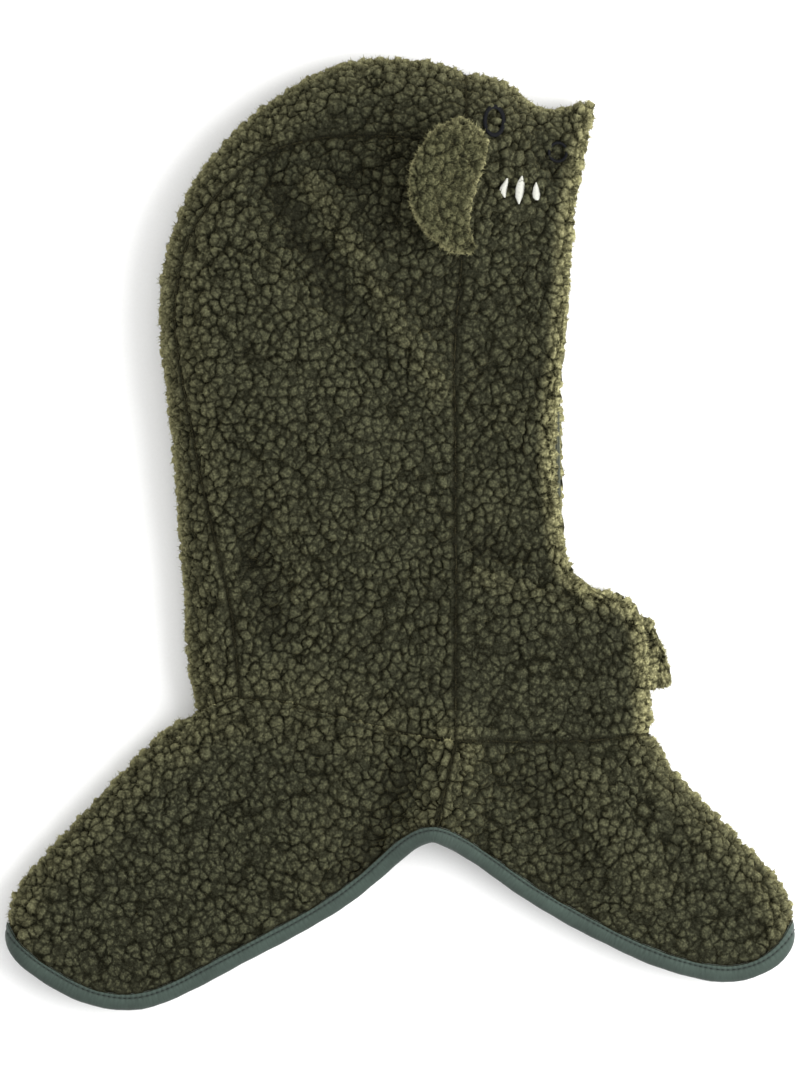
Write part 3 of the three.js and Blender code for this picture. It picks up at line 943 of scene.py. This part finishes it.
class HOOD_OT_fleece(bpy.types.Operator):
    """Make the panels of the hood and its cape, and the chin tab, in curly fleece"""

    bl_idname = "hood.fleece"
    bl_label = "Fleece panels"

    def execute(self, context):
        pile = context.scene.hood_pile
        lump, cluster, tall = pile.lump / MM, pile.cluster / MM, pile.tall / MM
        material = teddy_fleece(
            "curly teddy fleece", lump, cluster, tall, 1.1, pile.crack, pile.middle, pile.tip, pile.sheen_rim
        )
        backing = jersey_backing()
        shaper = pile_shaper("curly pile", material, lump, cluster, tall, tall * 0.9, 1.2)
        cloth = outer_cloth()
        for node in PANELS:
            panel_piece(node, [material, backing, material], shaper, pile, cloth)
        # The chin tab's pile is painted paler all over by this share: painted sheen
        tab = puffed_piece(TAB, "chin_tab_fleece", material, shaper, pile, 2.0 * MM, 2, 0, 0.9)
        placed(tab, TAB)
        return {"FINISHED"}


class HOOD_OT_ears(bpy.types.Operator):
    """Make the standing ear, and the one that is pressed flat under the hood"""

    bl_idname = "hood.ears"
    bl_label = "Ears"

    def execute(self, context):
        pile = context.scene.hood_pile
        lump, tall = pile.ear_lump / MM, pile.tall * 1.15 / MM
        cluster = lump * 2.4
        material = teddy_fleece(
            "brushed teddy fleece",
            lump,
            cluster,
            tall,
            0.9,
            pile.ear_crack,
            pile.ear_middle,
            pile.ear_tip,
            pile.sheen_rim,
        )
        shaper = pile_shaper("short curly pile", material, lump, cluster, tall, tall * 0.5, 4.5)
        for node in EARS:
            ear = puffed_piece(node, node + "_fleece", material, shaper, pile, 0, 3, 2, 0.06)
            placed(ear, node)
        return {"FINISHED"}


def hem_samples(step=0.8 * MM):
    """Places along the hem in plan, each with its direction and its distance from the back tip."""
    points = [Vector((x * MM, (y + LOWEST_HEM_Y) * MM)) for x, y in HEM_POINTS]
    points = [2 * points[0] - points[1], *points, 2 * points[-1] - points[-2]]
    places = []
    for a, b, c, d in zip(points, points[1:], points[2:], points[3:]):
        count = math.ceil((c - b).length / step)
        for i in range(count):
            t = i / count
            places.append(
                0.5 * (2 * b + (c - a) * t + (2 * a - 5 * b + 4 * c - d) * t**2
                       + (3 * b - a - 3 * c + d) * t**3)
            )
    samples = []
    along = 0.0
    for here, following in zip(places, places[1:]):
        samples.append((here, (following - here).normalized(), along))
        along += (following - here).length
    return samples


def jersey_tape(colour, pucker):
    # Fine jersey cut on the cross and folded over the hem: matt, with soft puckers at the stitches
    # and wales across the tape, drawn 0.9 mm apart because the real 0.5 mm would not show
    material, tree, shader = new_material("jersey hem tape")
    along = add(tree, "ShaderNodeAttribute", attribute_name="along").outputs["Fac"]
    across = add(tree, "ShaderNodeAttribute", attribute_name="across").outputs["Fac"]
    flat = add(tree, "ShaderNodeCombineXYZ", {0: along, 1: across}).outputs[0]
    stretched = vectors(tree, "MULTIPLY", flat, (1.1, 0.22, 1.0))
    wales = add(
        tree,
        "ShaderNodeTexNoise",
        {"Vector": stretched, "Scale": 1.0, "Detail": 3.0, "Roughness": 0.6},
    ).outputs["Fac"]
    broad = add(
        tree, "ShaderNodeTexNoise", {"Vector": flat, "Scale": 1 / 16, "Detail": 1.0}
    ).outputs["Fac"]
    mixed = maths(tree, "MULTIPLY_ADD", broad, 0.8, wales)
    shade = ranged(tree, mixed, (0.6, 1.2), (0.78, 1.2))
    # Painted shade dark in the groove of the stitches, then painted light paler beside it, and painted
    # shade darker again towards the fold
    outer = ranged(tree, across, (STITCH_IN, 8.0), (1.25, 0.8))
    from_groove = maths(tree, "SUBTRACT", across, STITCH_IN)
    gap = maths(tree, "ABSOLUTE", from_groove)
    groove = ranged(tree, gap, (0, 0.9), (0.5, 1.0))
    for factor in (outer, groove):
        shade = maths(tree, "MULTIPLY", shade, factor)
    dyed = scaled(tree, colour[:3], shade)
    turn = maths(tree, "MULTIPLY", along, 2 * math.pi * MM / pucker)
    wave = maths(tree, "COSINE", turn)
    near_stitch = ranged(tree, across, (STITCH_IN, 4.6), (0.5, 0.0))
    puckers = maths(tree, "MULTIPLY_ADD", wave, near_stitch, wales)
    bump = add(tree, "ShaderNodeBump", {"Height": puckers, "Strength": 0.6, "Distance": 0.4 * MM})
    finish = {
        "Base Color": dyed,
        "Normal": bump.outputs[0],
        "Roughness": 0.85,
        "Specular IOR Level": 0.25,
        "Sheen Weight": 0.15,
    }
    feed(tree, shader, finish)
    return material


def sewing_thread(name, colour, roughness, gloss):
    # Twisted polyester thread: a faint gloss along it and fibres too fine to show but for their grain
    material, tree, shader = new_material(name)
    place = add(tree, "ShaderNodeTexCoord").outputs["Object"]
    grain = add(
        tree, "ShaderNodeTexNoise", {"Vector": place, "Scale": 1 / (0.6 * MM), "Detail": 2.0}
    ).outputs["Fac"]
    shade = ranged(tree, grain, (0, 1), (0.75, 1.25))
    dyed = scaled(tree, colour[:3], shade)
    finish = {"Base Color": dyed, "Roughness": roughness, "Specular IOR Level": gloss}
    feed(tree, shader, finish)
    return material


def thread(bm, start, end, width):
    """One stitch: a slim spindle of 20 faces between two places."""
    along = end - start
    turn = along.to_track_quat("X", "Z").to_matrix().to_4x4()
    size = Matrix.Diagonal((along.length / 2, width / 2, width * 0.4, 1))
    place = Matrix.Translation((start + end) / 2)
    bmesh.ops.create_icosphere(bm, subdivisions=1, radius=1, matrix=place @ turn @ size)


def height_on(tree, x, y, side):
    """Height of the outer face at a place: side 1 looks from above, side -1 from below."""
    hit = tree.ray_cast(Vector((x, y, side)), Vector((0, 0, -side)))[0]
    return hit.z if hit else None


def thread_piece(name, bm, material):
    """The object of all the stitches in the bmesh, which rides with the hood."""
    piece = add_piece(name, bm, [material])
    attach(piece, "root")
    return piece


class HOOD_OT_hem(bpy.types.Operator):
    """Fold the jersey tape round the cape's hem and stitch it down on both sides"""

    bl_idname = "hood.hem"
    bl_label = "Bound hem"

    def execute(self, context):
        tape = context.scene.hood_tape
        samples = hem_samples()
        tree = tree_of_places([(*place, 0) for place, _, _ in samples])

        bm = merged_copy(HEM)
        quads_from(bm)
        piece = add_piece("hem_tape", bm, [jersey_tape(tape.colour, tape.pucker)])
        subdivided(piece, 2)
        bm = bmesh.new()
        bm.from_mesh(piece.data)
        bm.edges.index_update()
        refined(bm, 1.0 * MM, lambda f: f.calc_area() > MM * MM)
        bm.normal_update()
        along_layer = bm.verts.layers.float.new("along")
        across_layer = bm.verts.layers.float.new("across")
        for vert in bm.verts:
            _, i, _ = tree.find((vert.co.x, vert.co.y, 0))
            place, direction, along = samples[i]
            gap = Vector((vert.co.x, vert.co.y)) - place
            vert[along_layer] = (along + gap.dot(direction)) / MM
            vert[across_layer] = gap.dot(Vector((direction.y, -direction.x))) / MM
        normals = [v.normal.copy() for v in bm.verts]
        for vert, normal in zip(bm.verts, normals):
            along, across = vert[along_layer], vert[across_layer]
            groove = -0.4 * math.exp(-(((across - STITCH_IN) / 0.5) ** 2))
            wave = 0.16 * math.sin(along / 3.1) * math.sin(along / 7.3 + 1)
            vert.co += normal * ((groove + wave) * MM)
            vert.co.z = max(vert.co.z, 0.0)
        bm.normal_update()
        surface = BVHTree.FromBMesh(bm)
        bm.to_mesh(piece.data)
        bm.free()
        placed(piece, HEM)

        stitches = bmesh.new()
        length = samples[-1][2]
        count = int(length / tape.stitch)
        step = len(samples) / count
        for side in (1, -1):
            for k in range(count):
                place, direction, _ = samples[int((k + 0.5) * step)]
                outward = Vector((direction.y, -direction.x))
                middle = place + outward * (STITCH_IN * MM)
                z = height_on(surface, *middle, side)
                if z is None:
                    continue
                middle = Vector((*middle, z))
                half = Vector((*direction, 0)) * (tape.stitch * 0.36)
                thread(stitches, middle - half, middle + half, 0.55 * MM)
        dark = sewing_thread("polyester sewing thread", linear("#1a201e"), 0.7, 0.2)
        thread_piece("hem_stitches", stitches, dark)
        return {"FINISHED"}


class HOOD_OT_embroidery(bpy.types.Operator):
    """Embroider a ring and the white marks on both sides of the brow, and lay a second dark ring of
    thread, a painted shadow in a crease of the brow
    """

    bl_idname = "hood.embroidery"
    bl_label = "Embroidery"

    def execute(self, context):
        settings = context.scene.hood_thread
        surface = node_tree_of("front_band")
        dark = sewing_thread("rayon embroidery thread, charcoal", settings.dark, 0.7, 0.1)
        white = sewing_thread("rayon embroidery thread, white", settings.white, 0.6, 0.3)
        for side, name in ((1, "right"), (-1, "left")):
            rings = bmesh.new()
            for ring in RINGS:
                self.ring(rings, surface, side, settings.pitch, **ring)
            thread_piece("ring_and_shadow_ring_" + name, rings, dark)
            marks = bmesh.new()
            for rows in MARKS:
                self.mark(marks, surface, side, settings.pitch, rows)
            thread_piece("embroidered_marks_" + name, marks, white)
        return {"FINISHED"}

    def sewn(self, bm, surface, side, start, end, lift, width):
        """A thread between two places of the plan, laid on the pile."""
        ends = []
        for x, y in (start, end):
            z = height_on(surface, x, y, side)
            if z is None:
                return
            ends.append(Vector((x, y, max(z + side * lift, width * 0.4))))
        thread(bm, *ends, width)

    def ring(self, bm, surface, side, pitch, middle, wide, high, line, lift):
        """A ring of satin stitch: short threads across its line."""
        x, y = photo_place(*middle)
        a, b = wide * MM_PER_PIXEL * MM / 2, high * MM_PER_PIXEL * MM / 2
        count = round(math.pi * (a + b) / pitch)
        for i in range(count):
            turn = 2 * math.pi * i / count
            ray = Vector((math.cos(turn), math.sin(turn)))
            outer = Vector((x + a * ray.x, y + b * ray.y))
            inner = outer - ray * line * MM
            self.sewn(bm, surface, side, inner, outer, lift * MM, pitch * 1.5)

    def mark(self, bm, surface, side, pitch, rows):
        """A mark of satin stitch: threads from its left edge to its right, one under another."""
        top, bottom = rows[0][0], rows[-1][0]
        count = round((bottom - top) * MM_PER_PIXEL * MM / pitch)
        levels, lefts, rights = zip(*rows)
        for i in range(count + 1):
            level = top + (bottom - top) * i / count
            left = float(np.interp(level, levels, lefts))
            right = float(np.interp(level, levels, rights))
            ends = (photo_place(left, level), photo_place(right, level))
            self.sewn(bm, surface, side, *ends, 0.3 * MM, pitch * 1.6)


class HOOD_OT_stage(bpy.types.Operator):
    """Lay a pale floor under the hood, with soft light and a camera straight above"""

    bl_idname = "hood.stage"
    bl_label = "Stage"

    def execute(self, context):
        stage = context.scene.hood_stage
        bm = bmesh.new()
        bmesh.ops.create_grid(bm, x_segments=1, y_segments=1, size=3.0)
        bmesh.ops.translate(bm, verts=bm.verts, vec=(0, 0, -0.2 * MM))
        # Matt white paper sweep, with the faint unevenness of a painted board
        material, tree, shader = new_material("matt white board")
        place = add(tree, "ShaderNodeTexCoord").outputs["Object"]
        grain = add(tree, "ShaderNodeTexNoise", {"Vector": place, "Scale": 900.0}).outputs["Fac"]
        colour = blend(tree, grain, linear("#f4f4f3"), linear("#fafafa"))
        feed(tree, shader, {"Base Color": colour, "Roughness": 0.8})
        floor = add_piece("floor", bm, [material])

        camera = bpy.data.cameras.new("camera")
        image_high = IMAGE_HIGH * MM_PER_PIXEL * MM
        camera.lens = camera.sensor_width * stage.camera_high / image_high
        camera.clip_end = 2 * stage.camera_high
        eye = bpy.data.objects.new("camera", camera)
        eye.location = (*photo_place(PIXEL_MIDDLE_X, IMAGE_HIGH / 2), stage.camera_high)
        context.scene.collection.objects.link(eye)
        context.scene.camera = eye

        light = bpy.data.lights.new("key", "AREA")
        light.shape = "DISK"
        light.size = 1.4
        light.energy = stage.key_power
        key = bpy.data.objects.new("key", light)
        key.location = (1.0, -0.05, 0.95)
        key.rotation_euler = (-key.location).to_track_quat("-Z", "Y").to_euler()
        context.scene.collection.objects.link(key)

        world = bpy.data.worlds.new("studio")
        world.use_nodes = True
        world.node_tree.nodes["Background"].inputs[0].default_value = linear("#ffffff")
        world.node_tree.nodes["Background"].inputs[1].default_value = stage.fill
        context.scene.world = world
        context.scene.view_settings.view_transform = "Standard"
        return {"FINISHED"}


class HOOD_PT_hood(bpy.types.Panel):
    """Lists the hood's pieces and their sizes and colours"""

    bl_label = "Teddy fleece hood"
    bl_space_type = "VIEW_3D"
    bl_region_type = "UI"
    bl_category = "Hood"

    def draw(self, context):
        for group, operators in GROUPS.items():
            box = self.layout.box()
            settings = getattr(context.scene, group)
            for name in settings.bl_rna.properties.keys():
                if name not in ("rna_type", "name"):
                    box.prop(settings, name)
            for operator in operators:
                box.operator(operator)


# Each group of settings, with the operators that use it
GROUPS = {
    "hood_pile": ["hood.fleece", "hood.ears"],
    "hood_tape": ["hood.hem"],
    "hood_thread": ["hood.embroidery"],
    "hood_stage": ["hood.stage"],
}
SETTINGS = {
    "hood_pile": HoodPile,
    "hood_tape": HoodTape,
    "hood_thread": HoodThread,
    "hood_stage": HoodStage,
}
OPERATORS = (HOOD_OT_fleece, HOOD_OT_ears, HOOD_OT_hem, HOOD_OT_embroidery, HOOD_OT_stage)


def register():
    for kind in (*SETTINGS.values(), *OPERATORS, HOOD_PT_hood):
        bpy.utils.register_class(kind)
    for name, kind in SETTINGS.items():
        setattr(bpy.types.Scene, name, PointerProperty(type=kind))


def unregister():
    for name in SETTINGS:
        delattr(bpy.types.Scene, name)
    for kind in (HOOD_PT_hood, *reversed(OPERATORS), *SETTINGS.values()):
        bpy.utils.unregister_class(kind)


def main():
    register()
    bpy.ops.hood.stage()
    bpy.ops.hood.fleece()
    bpy.ops.hood.ears()
    bpy.ops.hood.hem()
    bpy.ops.hood.embroidery()


if __name__ == "__main__":
    main()
